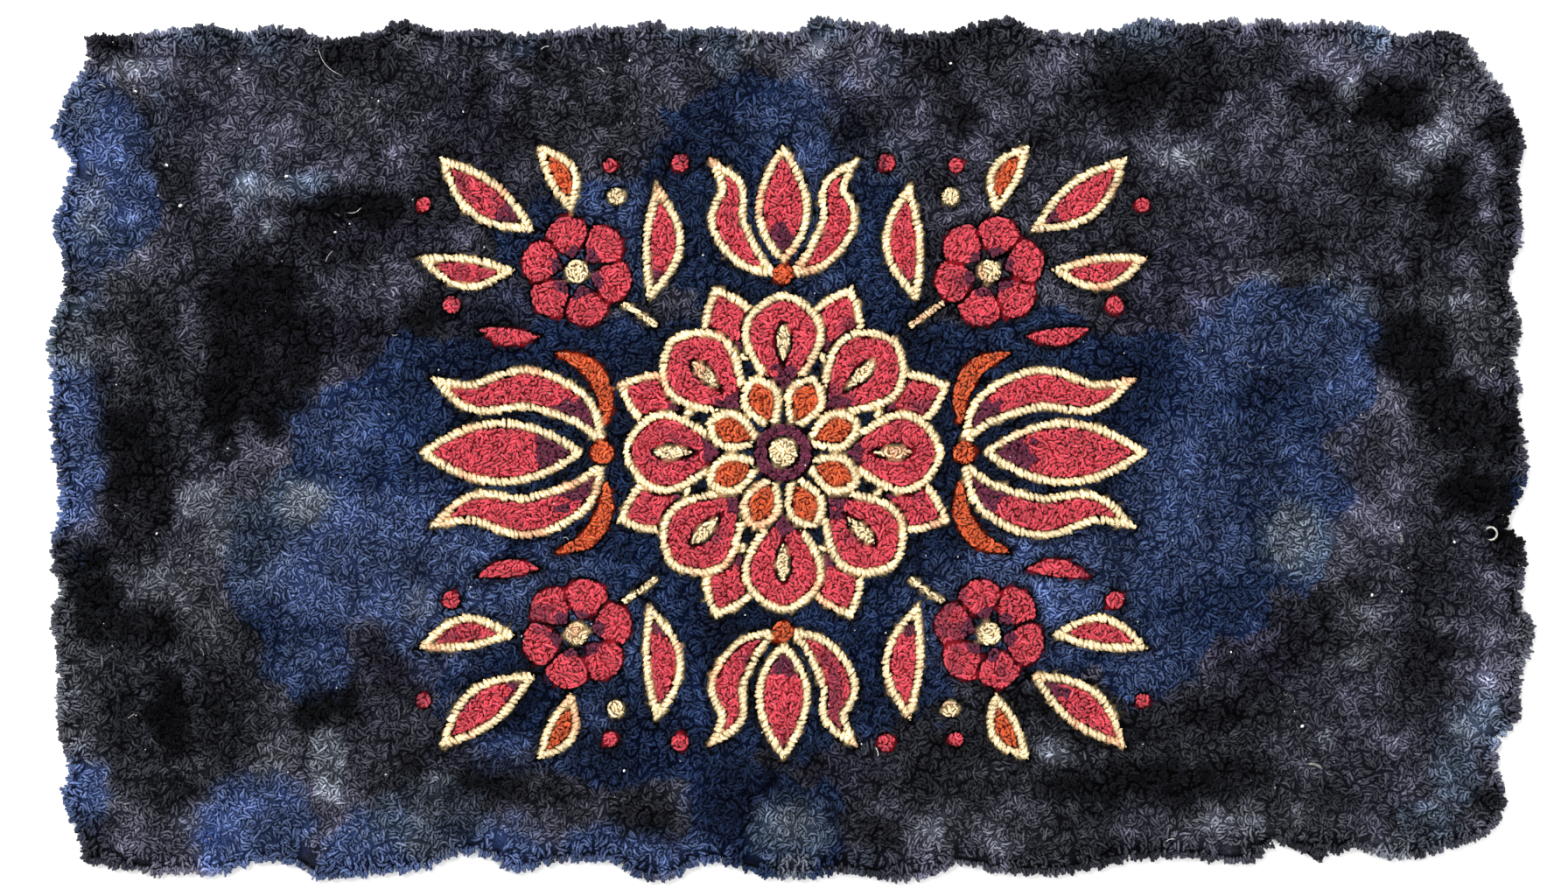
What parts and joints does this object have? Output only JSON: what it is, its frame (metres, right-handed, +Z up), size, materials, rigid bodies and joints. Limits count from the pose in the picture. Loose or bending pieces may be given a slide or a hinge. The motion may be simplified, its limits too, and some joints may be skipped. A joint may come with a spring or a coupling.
{
  "type": "hooked wool pile rug",
  "caption": "Rectangular accent rug with a dense curly wool pile, a mottled dark ground, a floral design in the middle and a wavy frayed edge.",
  "frame": {"origin": "middle of the flat underside, under the centre of the overall box, on the surface that the rug lies on", "axes": "+X along the rug's length, +Y across its width towards the far side, +Z up through the pile"},
  "size_m": [1.07, 0.622, 0.013],
  "materials": {
    "wool_pile": "charcoal and navy curly wool pile, matt"
  },
  "bodies": {
    "root": {"rug": "wool_pile"}
  },
  "joints": []
}
